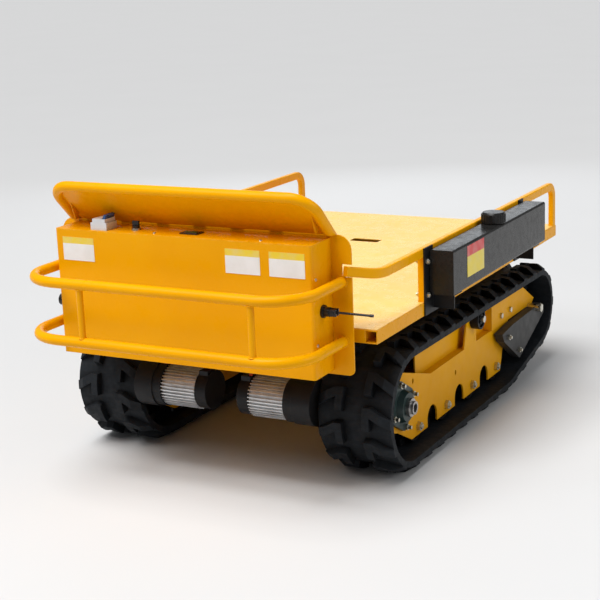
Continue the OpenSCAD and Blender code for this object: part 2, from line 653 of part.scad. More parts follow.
// Tread lug, drawn [along the track, inward from its edge]: a slanting bar with a straight leg
lug_in = belt_w * 0.36;
lug_bevel = 30;                  // the lugs fall away over this width at the track's edges
module lug_shape() polygon([[-26, 0], [6, 0], [38, lug_in - 26], [38, lug_in], [-34, lug_in],
    [-34, lug_in - 24], [8, lug_in - 24]]);
module lug() translate([0, 0, -4]) rotate([0, 0, 90]) linear_extrude(lug_h + 12) lug_shape();
module belt() color(rubber) {
    x0 = belt_x - belt_w / 2;
    difference() {
        across(x0, belt_w) polygon(loop_points(lug_h));
        across(x0 - 1, belt_w + 2) polygon(loop_points(belt_t));
    }
    // lugs in two staggered columns, their tips following the track and falling away at its edges
    intersection() {
        hull() {
            across(x0 + lug_bevel, belt_w - 2 * lug_bevel) polygon(loop_points(0));
            across(x0, belt_w) polygon(loop_points(lug_h - 6));
        }
        for (k = [0 : lug_count - 1]) {
            p = on_track(track_len * k / lug_count);
            q = on_track(track_len * (k + 0.5) / lug_count);
            translate([belt_x + belt_w / 2, p[0], p[1]]) rotate([p[2] - 90, 0, 0]) lug();
            translate([belt_x - belt_w / 2, q[0], q[1]]) rotate([q[2] - 90, 0, 0]) mirror([1, 0, 0]) lug();
        }
    }
    // guide horns inside
    for (k = [0 : lug_count - 1], s = [-1, 1]) {
        p = on_track(track_len * k / lug_count);
        translate([belt_x + s * (horn_in + horn_w / 2), p[0], p[1]]) rotate([p[2] - 90, 0, 0])
            translate([-horn_w / 2, -20, -carcass_t - horn_h]) cube([horn_w, 40, horn_h + 4]);
    }
}
module right_track_belt() placed() on_side(1) belt();
module left_track_belt() placed() on_side(-1) belt();

plate_top = idler_z + 4;
tooth_z = belt_t + 23;
arch_r = 40;
arm_bolts = [[idler_y - 306, idler_z - 37], [idler_y - 195, idler_z - 113]];
module side_outline() {
    last = roller_y[3];
    hub = [drive_y, drive_r];
    difference() {
        union() {
            translate(hub) circle(86);
            polygon([[drive_y - 40, drive_r + 76], [drive_y - 10, drive_r + 110], [drive_y + 254, plate_top],
                [idler_y - 201, plate_top], [idler_y - 250, plate_top - 60], [last + 48, tooth_z],
                [drive_y + 96, tooth_z], [drive_y - 60, drive_r - 60]]);
        }
        for (i = [0 : 2]) translate([(roller_y[i] + roller_y[i + 1]) / 2, tooth_z + 24]) {
            circle(arch_r);
            translate([-arch_r, -60]) square([2 * arch_r, 60]);
        }
        translate(hub) circle(42);
        for (t = [0 : 90 : 359]) translate(hub + flange_pcd / 2 * [cos(t + flange_turn), sin(t + flange_turn)])
            circle(6.5);
        for (y = roller_y) translate([y, roller_z]) circle(axle_r + seat_gap);
        for (q = [[drive_y + 112, 254], [drive_y + 470, 180]]) translate(q) scale([0.7, 1]) circle(9);
        for (q = arm_bolts) translate(q) circle(6.5);
    }
}
module outer_plate() color(yellow) {
    x0 = belt_x + plate_in;
    difference() {
        union() {
            across(x0, side_t) side_outline();
            // upright tab that carries the top roller
            across(x0, side_t) polygon([[carrier_y - 86, plate_top - 2], [carrier_y - 55, carrier_z + 12],
                [carrier_y - 20, carrier_z + 24], [carrier_y + 18, carrier_z + 24], [carrier_y + 30, plate_top - 2]]);
            // folded top flange that meets the main beam
            across(belt_x + beam_w / 2, plate_in - beam_w / 2) translate([drive_y + 254, plate_top - 5])
                square([idler_y - drive_y - 455, 5]);
        }
        bar_x(x0 - 1, x0 + side_t + 1, carrier_y, carrier_z, axle_r + seat_gap);
    }
}
module right_outer_plate() placed() on_side(1) outer_plate();
module left_outer_plate() placed() on_side(-1) outer_plate();

// Main box beam, the inner plate with its folded flange, and the fork box beside the idler
fork_z0 = plate_top + 0.5;
fork_z1 = fork_z0 + 100;
fork_y0 = carrier_y + 167;
module fork_outline(in) polygon([[fork_y0 + in, fork_z0 + in], [fork_y0 + in, fork_z1 - in],
    [idler_y - 84 - in, fork_z1 - in], [idler_y + 66 - 2 * in, fork_z0 + 16 + in / 2],
    [idler_y + 42 - in, fork_z0 + in]]);
module track_beam() color(yellow) {
    inner = belt_x - beam_in - side_t;
    beam_x0 = belt_x - beam_w / 2;
    fork_x1 = belt_x + plate_in + side_t + 6;
    difference() {
        union() {
            difference() {
                translate([beam_x0, beam_y0, beam_z]) cube([beam_w, beam_y1 - beam_y0, beam_h]);
                translate([beam_x0 + 5, beam_y0 - 1, beam_z + 5])
                    cube([beam_w - 10, beam_y1 - beam_y0 + 2, beam_h - 10]);
            }
            across(inner, side_t) polygon([[drive_y - 70, drive_r - 60], [drive_y - 70, drive_r + 60],
                [drive_y - 30, drive_r + 90], [beam_y0 + 60, beam_z + beam_h], [idler_y - 150, beam_z + beam_h],
                [idler_y + 40, idler_z + 35], [idler_y + 60, idler_z - 35], [roller_y[3] + 60, tooth_z],
                [roller_y[0] - 60, tooth_z]]);
            translate([inner + 1, beam_y0 + 40, beam_z]) cube([beam_in + side_t - beam_w / 2, beam_y1 - beam_y0 - 80, 5]);
            difference() {
                across(belt_x + beam_w / 2 - 1, fork_x1 - belt_x - beam_w / 2 + 1) fork_outline(0);
                across(belt_x + beam_w / 2 + 4, fork_x1 - belt_x - beam_w / 2 - 8) fork_outline(4);
            }
        }
        bar_x(inner - 1, inner + side_t + 1, drive_y, drive_r, 48);
        for (y = roller_y) bar_x(inner - 1, inner + side_t + 1, y, roller_z, axle_r + seat_gap);
        bar_x(inner - 1, fork_x1 + 1, idler_y, idler_z, idler_axle_r + seat_gap);
    }
}
module right_track_beam() placed() on_side(1) track_beam();
module left_track_beam() placed() on_side(-1) track_beam();

// Square four-bolt flange housing
housing_t = 14;
module bearing_housings() color([0.16, 0.28, 0.26]) placed() for (s = [-1, 1]) on_side(s) difference() {
    union() {
        translate([belt_x + plate_in + side_t, drive_y, drive_r]) rotate([flange_turn + 45, 0, 0])
            rotate([90, 0, 90]) linear_extrude(housing_t) rounded(flange_w, flange_w, 25);
        translate([belt_x + plate_in + side_t + housing_t - 1, drive_y, drive_r]) rotate([0, 90, 0])
            cylinder(r1 = 53, r2 = 45, h = 21);
    }
    bar_x(belt_x, belt_x + 200, drive_y, drive_r, shaft_d / 2 + run_gap);
    for (t = [0 : 90 : 359]) bar_x(belt_x, belt_x + 200, drive_y + flange_pcd / 2 * cos(t + flange_turn),
        drive_r + flange_pcd / 2 * sin(t + flange_turn), 6.5);
}

axle_end = belt_x + plate_in + side_t;
module axles() color(steel) placed() for (s = [-1, 1]) on_side(s) {
    for (y = roller_y) {
        bar_x(belt_x - beam_in - side_t - 2, axle_end, y, roller_z, axle_r);
        hex_x(axle_end, 12, y, roller_z, 30);
        bar_x(axle_end + 12, axle_end + 17, y, roller_z, axle_r - 2);
    }
    bar_x(belt_x + plate_in - 6, axle_end + carrier_w + 3, carrier_y, carrier_z, axle_r);
    hex_x(axle_end + carrier_w + 3, 8, carrier_y, carrier_z, 26);
    hex_x(belt_x + plate_in - 14, 14, carrier_y, carrier_z, 26);
    bar_x(belt_x - beam_in - side_t - 2, belt_x + arm_out + 14, idler_y, idler_z, idler_axle_r);
    hex_x(belt_x + arm_out + 14, 9, idler_y, idler_z, 34);
}

// Cast idler arm outside the fork: a dished plate
arm_shape = [[idler_y - 368, idler_z - 12], [idler_y - 253, idler_z - 1], [idler_y + 57, idler_z + 5],
             [idler_y + 91, idler_z - 39], [idler_y - 185, idler_z - 147], [idler_y - 348, idler_z - 44]];
module idler_arms() color([0.3, 0.3, 0.3]) placed() for (s = [-1, 1]) on_side(s) difference() {
    x0 = belt_x + plate_in + side_t + 6.5;
    w = belt_x + arm_out - x0;
    across(x0, w) polygon(arm_shape);
    across(x0 - 6, w) offset(delta = -8) polygon(arm_shape);
    bar_x(x0, x0 + 60, idler_y, idler_z, idler_axle_r + seat_gap);
    for (q = arm_bolts) bar_x(x0 - 1, x0 + 60, q[0], q[1], 6.5);
}

module frame_bolts() color(steel) placed() for (s = [-1, 1]) on_side(s) {
    x0 = belt_x + plate_in;
    for (t = [0 : 90 : 359]) {
        y = drive_y + flange_pcd / 2 * cos(t + flange_turn);
        z = drive_r + flange_pcd / 2 * sin(t + flange_turn);
        bar_x(x0 - 5, x0 + side_t + housing_t + 20, y, z, 6);
        hex_x(x0 + side_t + housing_t, 9, y, z, 21);
        hex_x(x0 - 8, 8, y, z, 21);
    }
    for (q = arm_bolts) {
        bar_x(x0 - 5, belt_x + arm_out + 14, q[0], q[1], 6);
        hex_x(belt_x + arm_out, 8, q[0], q[1], 21);
        hex_x(x0 - 8, 8, q[0], q[1], 21);
    }
    for (y = [carrier_y + 258, carrier_y + 353]) hex_x(x0 + side_t + 6, 8, y, fork_z0 + 35, 21);
}

collar_x = belt_x + plate_in + side_t + housing_t + 20.5;
module drive_shaft() color(steel) difference() {
    union() {
        bar_x(case_x1 - 29, collar_x + 22, drive_y, drive_r, shaft_d / 2);
        bar_x(collar_x, collar_x + 12, drive_y, drive_r, shaft_d / 2 + 8);
    }
    bar_x(collar_x - 8, collar_x + 23, drive_y, drive_r, shaft_d / 2 - 7);
    translate([collar_x + 6, drive_y, drive_r]) cylinder(r = 4, h = 40);
}
module right_drive_shaft() placed() on_side(1) drive_shaft();
module left_drive_shaft() placed() on_side(-1) drive_shaft();

// Toothed disc between the guide horns, on a hub
teeth = 11;
module sprocket() color(black) difference() {
    union() {
        across(belt_x - 8, 16) translate([drive_y, drive_r]) {
            circle(tip_r - 14);
            for (k = [0 : teeth - 1]) rotate(360 * k / teeth)
                polygon([[tip_r - 24, -24], [tip_r - 2, -11], [tip_r - 2, 11], [tip_r - 24, 24]]);
        }
        bar_x(belt_x - 34, belt_x + 34, drive_y, drive_r, 52);
        bar_x(belt_x - 22, belt_x + 22, drive_y, drive_r, tip_r - 60);
    }
    bar_x(belt_x - 50, belt_x + 50, drive_y, drive_r, shaft_d / 2 + 0.02);
    for (k = [0 : 5]) bar_x(belt_x - 50, belt_x + 50, drive_y + 74 * cos(60 * k), drive_r + 74 * sin(60 * k), 13);
}
module right_sprocket() placed() on_side(1) sprocket();
module left_sprocket() placed() on_side(-1) sprocket();

// Double-flange track roller that straddles the guide horns
module roller(i) color(black) {
    y = roller_y[i];
    difference() {
        union() {
            bar_x(belt_x - 62, belt_x - 35, y, roller_z, roller_r);
            bar_x(belt_x + 35, belt_x + 55, y, roller_z, roller_r);
            bar_x(belt_x - 62, belt_x + 55, y, roller_z, hub_r);
        }
        bar_x(belt_x - 80, belt_x + 80, y, roller_z, axle_r + run_gap);
        for (x = [belt_x - 63, belt_x + 43]) difference() {
            bar_x(x, x + 13, y, roller_z, roller_r - 8);
            bar_x(x - 1, x + 14, y, roller_z, hub_r + 2);
        }
    }
}
module right_roller_1() placed() on_side(1) roller(0);
module right_roller_2() placed() on_side(1) roller(1);
module right_roller_3() placed() on_side(1) roller(2);
module right_roller_4() placed() on_side(1) roller(3);
module left_roller_1() placed() on_side(-1) roller(0);
module left_roller_2() placed() on_side(-1) roller(1);
module left_roller_3() placed() on_side(-1) roller(2);
module left_roller_4() placed() on_side(-1) roller(3);

carrier_w = 32;
module carrier_roller() color(black) difference() {
    bar_x(axle_end + 2, axle_end + carrier_w, carrier_y, carrier_z, carrier_r);
    bar_x(axle_end, axle_end + carrier_w + 2, carrier_y, carrier_z, axle_r + run_gap);
    difference() {
        bar_x(axle_end + carrier_w - 6, axle_end + carrier_w + 1, carrier_y, carrier_z, carrier_r - 7);
        bar_x(axle_end + carrier_w - 7, axle_end + carrier_w + 2, carrier_y, carrier_z, 17);
    }
}
module right_carrier_roller() placed() on_side(1) carrier_roller();
module left_carrier_roller() placed() on_side(-1) carrier_roller();

idler_in = idler_r - belt_t;     // inner radius of the track over the idler
module idler_wheel() color(black) difference() {
    union() {
        bar_x(belt_x - 12, belt_x + 12, idler_y, idler_z, idler_in - 0.5);
        bar_x(belt_x - 33, belt_x + 33, idler_y, idler_z, idler_in - horn_h - 3);
    }
    bar_x(belt_x - 60, belt_x + 60, idler_y, idler_z, idler_axle_r + run_gap);
    for (x = [belt_x - 34, belt_x + 22]) difference() {
        bar_x(x, x + 12, idler_y, idler_z, idler_in - horn_h - 13);
        bar_x(x - 1, x + 13, idler_y, idler_z, 42);
    }
}
module right_idler_wheel() placed() on_side(1) idler_wheel();
module left_idler_wheel() placed() on_side(-1) idler_wheel();

// ---- drive: finned motor, end bell and reduction case down to the drive shaft ----

fin_count = 36;
module motor() color([0.75, 0.76, 0.77]) across(motor_x0, motor_x1 - motor_x0) translate([motor_y, motor_z]) {
    circle(motor_r - 9);
    for (k = [0 : fin_count - 1]) rotate(360 * k / fin_count) translate([motor_r - 14, -1.7]) square([14, 3.4]);
}
module right_motor() placed() on_side(1) motor();
module left_motor() placed() on_side(-1) motor();
module motor_ends() color(black) placed() for (s = [-1, 1]) on_side(s) {
    bar_x(motor_x0 - bell_len, motor_x0, motor_y, motor_z, motor_r - 3);
    translate([motor_x0 - bell_len + 4, motor_y - 34, bell_top - 24]) cube([bell_len - 8, 48, 24]);
}
case_r = 74;
module gearbox() color(black) difference() {
    union() {
        bar_x(motor_x1, case_x0, motor_y, motor_z, motor_r + 4);
        across(case_x0, case_x1 - case_x0) hull() {
            translate([motor_y, motor_z]) circle(case_r);
            translate([drive_y, drive_r]) circle(case_r - 10);
        }
        bar_x(case_x1 - 1, belt_x - beam_in - side_t, drive_y, drive_r, 54);
    }
    bar_x(case_x1 - 30, belt_x, drive_y, drive_r, shaft_d / 2 + run_gap);
}
module right_gearbox() placed() on_side(1) gearbox();
module left_gearbox() placed() on_side(-1) gearbox();

deck_side_tubes();
deck_cross_tubes();
deck_plate();
left_rail();
right_rail();
rail_posts();
backplate();
control_box_case();
control_box_lid();
case_screws();
notice_plates();
breaker_body();
breaker_lever();
selector_base();
selector_knob();
battery_gauge();
charge_port();
antenna_base();
antenna_rod();
control_hood();
bumper();
tank();
tank_cap();
tank_brackets();
bracket_bolts();
battery_pack();
motor_controller();
motor_cables();
cross_beams();
right_track_belt();
left_track_belt();
right_outer_plate();
left_outer_plate();
right_track_beam();
left_track_beam();
bearing_housings();
axles();
idler_arms();
frame_bolts();
right_drive_shaft();
left_drive_shaft();
right_sprocket();
left_sprocket();
right_roller_1();
right_roller_2();
right_roller_3();
right_roller_4();
left_roller_1();
left_roller_2();
left_roller_3();
left_roller_4();
right_carrier_roller();
left_carrier_roller();
right_idler_wheel();
left_idler_wheel();
right_motor();
left_motor();
motor_ends();
right_gearbox();
left_gearbox();
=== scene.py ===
"""Looks for the tracked platform cart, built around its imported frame. Metres, +Z up."""

import math

import bmesh
import bpy
from mathutils import Euler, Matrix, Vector


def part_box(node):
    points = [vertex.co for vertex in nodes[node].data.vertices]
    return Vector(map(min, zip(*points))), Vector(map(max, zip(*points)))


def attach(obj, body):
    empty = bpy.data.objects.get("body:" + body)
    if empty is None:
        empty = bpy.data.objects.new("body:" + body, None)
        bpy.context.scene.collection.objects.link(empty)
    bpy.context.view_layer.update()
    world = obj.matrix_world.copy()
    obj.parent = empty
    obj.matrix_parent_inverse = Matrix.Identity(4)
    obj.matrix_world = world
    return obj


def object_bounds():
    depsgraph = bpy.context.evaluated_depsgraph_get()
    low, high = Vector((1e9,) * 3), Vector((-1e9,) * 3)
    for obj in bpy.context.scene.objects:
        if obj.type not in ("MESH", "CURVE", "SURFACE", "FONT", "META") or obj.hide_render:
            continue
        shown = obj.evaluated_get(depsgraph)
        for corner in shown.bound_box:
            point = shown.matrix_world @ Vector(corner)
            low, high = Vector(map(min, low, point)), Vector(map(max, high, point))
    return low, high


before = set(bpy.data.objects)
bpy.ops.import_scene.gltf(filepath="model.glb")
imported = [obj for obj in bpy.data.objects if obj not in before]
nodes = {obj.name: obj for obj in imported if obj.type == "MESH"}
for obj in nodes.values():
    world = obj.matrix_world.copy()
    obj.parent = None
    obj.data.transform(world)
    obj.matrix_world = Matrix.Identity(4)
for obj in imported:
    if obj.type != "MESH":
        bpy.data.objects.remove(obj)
cad_low, cad_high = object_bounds()

# ---- camera, at the photograph's viewing angle ----

camera_data = bpy.data.cameras.new("camera")
camera_data.sensor_width = 36.0
camera_data.lens = 85.5
camera_data.shift_x = -0.0062
camera = bpy.data.objects.new("camera", camera_data)
camera.location = (2.2092, -4.2362, 1.6012)
camera.rotation_euler = Euler([math.radians(a) for a in (75.98, 2.17, 27.71)], "XYZ")
bpy.context.collection.objects.link(camera)
bpy.context.scene.camera = camera

# ---- node materials ----

# sockets of a colour Mix node, which share their names with those of its other data types
MIX_A, MIX_B, MIX_RESULT = 6, 7, 2


class Shader:
    """A small helper that adds nodes to one material and links them."""

    def __init__(self, name):
        self.material = bpy.data.materials.new(name)
        self.material.use_nodes = True
        self.tree = self.material.node_tree
        self.bsdf = self.tree.nodes["Principled BSDF"]
        self.coords = self.tree.nodes.new("ShaderNodeTexCoord").outputs["Object"]

    def node(self, kind, **values):
        """A new node of one kind, with its properties set."""
        made = self.tree.nodes.new(kind)
        for key, value in values.items():
            setattr(made, key, value)
        return made

    def link(self, source, target):
        self.tree.links.new(source, target)

    def noise(self, scale, detail=3.0, roughness=0.5, stretch=None):
        """Noise over the object's own coordinates; stretch scales them along each axis first."""
        made = self.node("ShaderNodeTexNoise")
        made.inputs["Scale"].default_value = scale
        made.inputs["Detail"].default_value = detail
        made.inputs["Roughness"].default_value = roughness
        source = self.coords
        if stretch:
            mapping = self.node("ShaderNodeMapping")
            mapping.inputs["Scale"].default_value = stretch
            self.link(source, mapping.inputs["Vector"])
            source = mapping.outputs["Vector"]
        self.link(source, made.inputs["Vector"])
        return made.outputs["Fac"]

    def ramp(self, source, low, high, start, end):
        """Carries low..high of the source over to start..end, clamped."""
        made = self.node("ShaderNodeMapRange", clamp=True)
        made.inputs["From Min"].default_value = low
        made.inputs["From Max"].default_value = high
        made.inputs["To Min"].default_value = start
        made.inputs["To Max"].default_value = end
        self.link(source, made.inputs["Value"])
        return made.outputs["Result"]

    def mix(self, factor, first, second):
        """Mixes two colours, each a tuple or another node's output."""
        made = self.node("ShaderNodeMix", data_type="RGBA")
        self.link(factor, made.inputs["Factor"])
        for socket, value in ((made.inputs[MIX_A], first), (made.inputs[MIX_B], second)):
            if isinstance(value, tuple):
                socket.default_value = (*value, 1.0)
            else:
                self.link(value, socket)
        return made.outputs[MIX_RESULT]

    def times(self, first, second):
        """The product of two outputs."""
        product = self.node("ShaderNodeMath", operation="MULTIPLY")
        self.link(first, product.inputs[0])
        self.link(second, product.inputs[1])
        return product.outputs[0]

    def normals(self, height, strength, distance, bevel=0.0):
        """Bump from a height, over corners rounded by a bevel radius if one is given."""
        bump = self.node("ShaderNodeBump")
        bump.inputs["Strength"].default_value = strength
        bump.inputs["Distance"].default_value = distance
        self.link(height, bump.inputs["Height"])
        if bevel:
            rounded = self.node("ShaderNodeBevel", samples=4)
            rounded.inputs["Radius"].default_value = bevel
            self.link(rounded.outputs["Normal"], bump.inputs["Normal"])
        self.link(bump.outputs["Normal"], self.bsdf.inputs["Normal"])

    def edges(self, radius):
        """About 1 along sharp edges and 0 on flat faces."""
        rounded = self.node("ShaderNodeBevel", samples=4)
        rounded.inputs["Radius"].default_value = radius
        geometry = self.node("ShaderNodeNewGeometry")
        dot = self.node("ShaderNodeVectorMath", operation="DOT_PRODUCT")
        self.link(rounded.outputs["Normal"], dot.inputs[0])
        self.link(geometry.outputs["Normal"], dot.inputs[1])
        return self.ramp(dot.outputs["Value"], 0.985, 0.90, 0.0, 1.0)

    def set(self, **values):
        """Sets sockets of the surface shader by name, with _ for a space."""
        for key, value in values.items():
            self.bsdf.inputs[key.replace("_", " ")].default_value = value


PALE_EDGE_WEAR_HIGHLIGHT = (0.95, 0.62, 0.18)    # paler yellow where the yellow paint is worn at its edges, which is also a painted highlight along them
# grey where dark paint is worn at its edges, which is also a painted highlight along them
GREY_EDGE_WEAR_HIGHLIGHT = (0.20, 0.20, 0.20)


def paint(name, color, dull, rough=0.26, gloss=0.09, wear_and_highlight=PALE_EDGE_WEAR_HIGHLIGHT, bevel=0.0012):
    """Sprayed gloss paint: orange peel, cloudy tone, a little dust, and edges paler in patches, partly worn
    and partly a painted highlight.
    """
    s = Shader(name)
    cloud = s.ramp(s.noise(2.6, 4.0), 0.35, 0.65, 0.0, 1.0)
    tone = s.mix(cloud, color, dull)
    edge = s.ramp(s.noise(70.0, 3.0), 0.45, 0.62, 0.0, 0.55)
    # patches along sharp edges take the paler colour: wear, and also a painted highlight on the edges
    worn_and_highlit = s.times(edge, s.edges(0.0016))
    s.link(s.mix(worn_and_highlit, tone, wear_and_highlight), s.bsdf.inputs["Base Color"])
    sheen = s.ramp(s.noise(24.0, 5.0, 0.65), 0.3, 0.7, rough - 0.05, rough + 0.12)
    s.link(sheen, s.bsdf.inputs["Roughness"])
    s.normals(s.noise(240.0, 2.0), 0.05, 0.0006, bevel)
    s.set(Specular_IOR_Level=gloss)
    return s.material


def rubber(name, face, recess_shade, rough=0.66, grain=420.0):
    """Moulded rubber: deep black in the recesses by painted shade, and scuffed grey where it stands out."""
    s = Shader(name)
    # ambient occlusion paints shade into the rubber: occluded recesses take the dark colour
    shade = s.node("ShaderNodeAmbientOcclusion", samples=6)
    shade.inputs["Distance"].default_value = 0.03
    scuff = s.ramp(s.noise(38.0, 5.0, 0.7), 0.35, 0.72, 0.55, 1.0)
    unshaded_mask = s.ramp(shade.outputs["AO"], 0.45, 0.98, 0.0, 1.0)
    s.link(s.mix(s.times(unshaded_mask, scuff), recess_shade, face), s.bsdf.inputs["Base Color"])
    sheen = s.ramp(s.noise(60.0, 4.0), 0.3, 0.7, rough - 0.1, rough + 0.12)
    s.link(sheen, s.bsdf.inputs["Roughness"])
    s.normals(s.noise(grain, 3.0, 0.6), 0.12, 0.0008, 0.0022)
    s.set(Specular_IOR_Level=0.22)
    return s.material


def metal(name, color, dark, rough=0.32, grain=300.0, stretch=None, bump=0.06):
    """Bare or plated metal with a fine grain and darker grime in patches."""
    s = Shader(name)
    patch = s.ramp(s.noise(30.0, 5.0, 0.6), 0.42, 0.70, 0.0, 0.8)
    s.link(s.mix(patch, color, dark), s.bsdf.inputs["Base Color"])
    sheen = s.ramp(s.noise(90.0, 4.0, 0.6, stretch), 0.3, 0.7, rough - 0.08, rough + 0.12)
    s.link(sheen, s.bsdf.inputs["Roughness"])
    s.normals(s.noise(grain, 3.0, 0.6, stretch), bump, 0.0005, 0.0008)
    s.set(Metallic=1.0)
    return s.material


def plastic(name, color, second, rough=0.4, gloss=0.3, grain=600.0, bump=0.06):
    """Moulded plastic: fine grain, faint cloudiness, light dust."""
    s = Shader(name)
    cloud = s.ramp(s.noise(9.0, 5.0, 0.6), 0.35, 0.68, 0.0, 1.0)
    s.link(s.mix(cloud, color, second), s.bsdf.inputs["Base Color"])
    sheen = s.ramp(s.noise(45.0, 4.0), 0.3, 0.7, rough - 0.06, rough + 0.1)
    s.link(sheen, s.bsdf.inputs["Roughness"])
    s.normals(s.noise(grain, 2.0), bump, 0.0004, 0.0012)
    s.set(Specular_IOR_Level=gloss)
    return s.material


YELLOW = paint("yellow_paint", (0.86, 0.385, 0.0), (0.80, 0.34, 0.0))
# the deck's paint is the yellow paint made paler: a painted highlight for the light that falls on the deck
# from above
LIT_DECK = paint("deck_paint", (0.93, 0.56, 0.09), (0.89, 0.52, 0.075), rough=0.26, gloss=0.4)
UNDER = paint("frame_paint", (0.84, 0.40, 0.002), (0.74, 0.33, 0.002), rough=0.38, gloss=0.09)
BLACK = paint("black_paint", (0.006, 0.006, 0.007), (0.011, 0.011, 0.012),
              rough=0.42, gloss=0.25, wear_and_highlight=(0.07, 0.07, 0.07))
ARM = paint("arm_paint", (0.034, 0.034, 0.035), (0.048, 0.047, 0.045),
            rough=0.45, gloss=0.2, wear_and_highlight=GREY_EDGE_WEAR_HIGHLIGHT)
GREEN = paint("green_casting", (0.016, 0.046, 0.042), (0.010, 0.028, 0.026),
              rough=0.36, gloss=0.5, wear_and_highlight=(0.20, 0.26, 0.25))
RUBBER = rubber("track_rubber", (0.013, 0.016, 0.020), (0.001, 0.0013, 0.002))
WHEEL = rubber("wheel_rubber", (0.012, 0.012, 0.013), (0.002, 0.002, 0.003), 0.5)
ZINC = metal("zinc_steel", (0.66, 0.64, 0.56), (0.38, 0.34, 0.26))
SHAFT = metal("shaft_steel", (0.50, 0.49, 0.48), (0.24, 0.22, 0.21), 0.28, 260.0, (1.0, 12.0, 12.0))
ALUMINIUM = metal("cast_aluminium", (0.78, 0.79, 0.80), (0.55, 0.56, 0.57), 0.48, 420.0, None, 0.12)
TANK = plastic("tank_plastic", (0.012, 0.0115, 0.011), (0.017, 0.0165, 0.016), 0.24, 0.22, 300.0, 0.015)
GLOSS_BLACK = plastic("black_plastic", (0.006, 0.006, 0.007), (0.010, 0.010, 0.011), 0.28, 0.4)
WHITE = plastic("white_plastic", (0.66, 0.69, 0.72), (0.60, 0.63, 0.66), 0.42, 0.3)
BLUE = plastic("blue_plastic", (0.020, 0.075, 0.230), (0.016, 0.060, 0.190), 0.3, 0.4)
BATTERY = plastic("battery_case", (0.03, 0.06, 0.16), (0.04, 0.07, 0.18), 0.4)
CABLE = plastic("cable_cover", (0.50, 0.050, 0.006), (0.38, 0.034, 0.005), 0.42)
GLASS = plastic("gauge_glass", (0.003, 0.004, 0.005), (0.005, 0.006, 0.008), 0.08, 0.6, 80.0, 0.01)
LAMP = plastic("lamp_lens", (0.05, 0.30, 0.06), (0.04, 0.24, 0.05), 0.2, 0.5)


RED_BAND_Z = 0.062       # height of the red band's foot above the foot of the tank's card
YELLOW_BAND_H = 0.021    # height of the yellow band on the box's cards


def banded_card(name):
    """Blank cards in plain bands of colour by height: the tank's one lies below the box's."""
    s = Shader(name)
    low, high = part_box("notice_plates")
    height = s.node("ShaderNodeSeparateXYZ")
    s.link(s.coords, height.inputs[0])
    ramp = s.node("ShaderNodeValToRGB")
    ramp.color_ramp.interpolation = "CONSTANT"
    tank_card_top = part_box("tank")[1].z - 0.008
    bands = [(low.z, (0.80, 0.62, 0.03)), (low.z + RED_BAND_Z, (0.62, 0.02, 0.02)),
             (tank_card_top, (0.82, 0.82, 0.80)), (high.z - YELLOW_BAND_H, (0.82, 0.60, 0.02))]
    stops = ramp.color_ramp.elements
    for k, (level, color) in enumerate(bands):
        stop = stops[k] if k < 2 else stops.new(1.0)
        stop.position = level
        stop.color = (*color, 1.0)
    s.link(height.outputs["Z"], ramp.inputs["Fac"])
    dust = s.ramp(s.noise(30.0, 4.0), 0.4, 0.7, 0.0, 0.25)
    faded = s.mix(dust, ramp.outputs["Color"], (0.60, 0.58, 0.52))
    s.link(faded, s.bsdf.inputs["Base Color"])
    s.link(s.ramp(s.noise(60.0), 0.3, 0.7, 0.30, 0.42), s.bsdf.inputs["Roughness"])
    s.normals(s.noise(90.0, 2.0), 0.05, 0.0003, 0.0004)
    return s.material


CARD = banded_card("card")


def pair(name):
    """The names of a part that each side has."""
    return [f"{side}_{name}" for side in ("right", "left")]


# which nodes have which look; all the others are sprayed yellow
LOOKS = {
    LIT_DECK: ["deck_plate"],
    BLACK: ["tank_brackets", "motor_ends"] + pair("gearbox") + pair("sprocket"),
    ARM: ["idler_arms"],
    GREEN: ["bearing_housings"],
    RUBBER: pair("track_belt"),
    WHEEL: pair("idler_wheel") + pair("carrier_roller")
    + [name for k in (1, 2, 3, 4) for name in pair(f"roller_{k}")],
    ZINC: ["case_screws", "bracket_bolts", "frame_bolts", "selector_base", "axles"],
    SHAFT: pair("drive_shaft"),
    ALUMINIUM: pair("motor") + ["motor_controller"],
    TANK: ["tank", "tank_cap"],
    GLOSS_BLACK: ["selector_knob", "battery_gauge", "charge_port", "antenna_base", "antenna_rod"],
    WHITE: ["breaker_body"],
    BLUE: ["breaker_lever"],
    CARD: ["notice_plates"],
    BATTERY: ["battery_pack"],
    CABLE: ["motor_cables"],
    UNDER: ["cross_beams"] + pair("track_beam") + pair("outer_plate"),
}
look_of = {name: material for material, names in LOOKS.items() for name in names}
for name, node in nodes.items():
    node.data.materials.clear()
    node.data.materials.append(look_of.get(name, YELLOW))

# ---- detail pieces ----


def mesh_piece(name, bm, material, body="chassis"):
    """Turns a bmesh into a smooth-shaded piece that rides on a body."""
    bmesh.ops.recalc_face_normals(bm, faces=bm.faces)
    mesh = bpy.data.meshes.new(name)
    bm.to_mesh(mesh)
    bm.free()
    for face in mesh.polygons:
        face.use_smooth = True
    mesh.materials.append(material)
    piece = bpy.data.objects.new(name, mesh)
    bpy.context.collection.objects.link(piece)
    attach(piece, body)
    return piece


BEAD_SIDES = 8
BEAD_STEP = 0.0016    # distance between the rings of a bead


